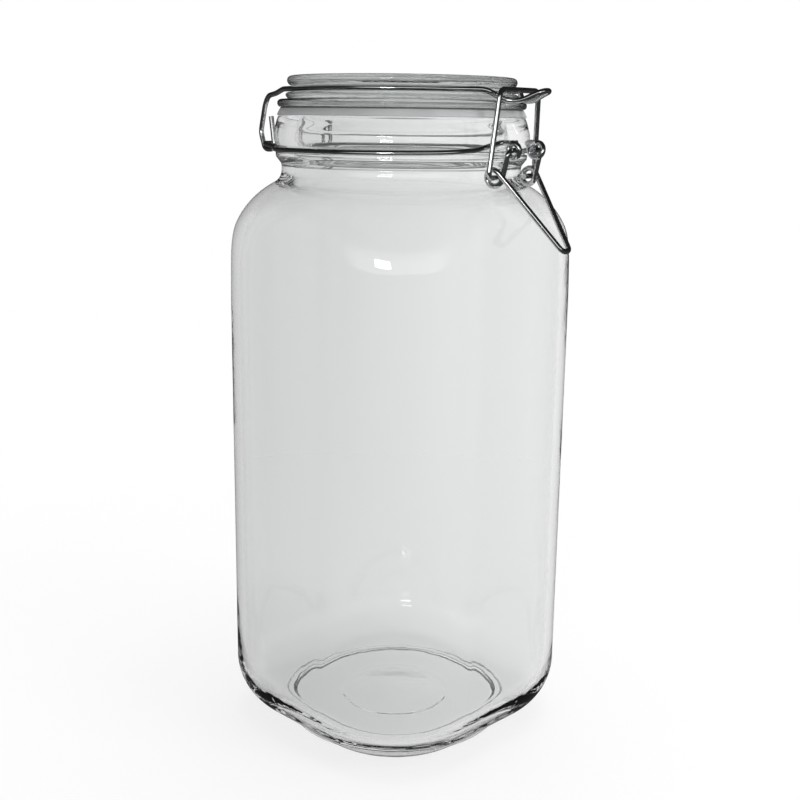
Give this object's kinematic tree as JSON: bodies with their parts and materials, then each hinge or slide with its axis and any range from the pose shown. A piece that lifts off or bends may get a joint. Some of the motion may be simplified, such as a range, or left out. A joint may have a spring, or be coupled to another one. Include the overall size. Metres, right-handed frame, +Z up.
{
  "type": "square clip-top storage jar",
  "caption": "Square glass storage jar with a round neck, a glass clip-top lid, a sealing ring and a steel wire lever latch.",
  "frame": {"origin": "centre of the object's outline seen from above, on the surface that the jar stands on", "axes": "+Z up; +X from the hinge to the latch, square to the hinge bar; the square glass body is turned by 8.5 degrees from these axes; +Y along the hinge bar"},
  "size_m": [0.1368, 0.1238, 0.26],
  "materials": {
    "glass_body": "clear moulded glass",
    "glass_lid": "clear pressed glass",
    "seal": "translucent whitish ring",
    "wire": "bright drawn steel wire"
  },
  "bodies": {
    "jar": {"jar_body": "glass_body", "lid": "glass_lid", "gasket": "seal", "neck_wire": "wire", "lid_wire": "wire"},
    "lever": {"lever": "wire"},
    "link": {"link": "wire"}
  },
  "joints": [
    {"name": "lever_pivot", "type": "hinge", "parent": "jar", "child": "lever", "pos_m": [0.0489, 0, 0.234], "axis": [0, -1, 0], "range_deg": [0, 150]},
    {"name": "link_pivot", "type": "hinge", "parent": "lever", "child": "link", "pos_m": [0.0437, 0, 0.2243], "axis": [0, -1, 0], "range_deg": [-108, 0]}
  ],
  "couplings": [
    {"joint": "link_pivot", "follows": "lever_pivot", "ratio": -0.72}
  ]
}
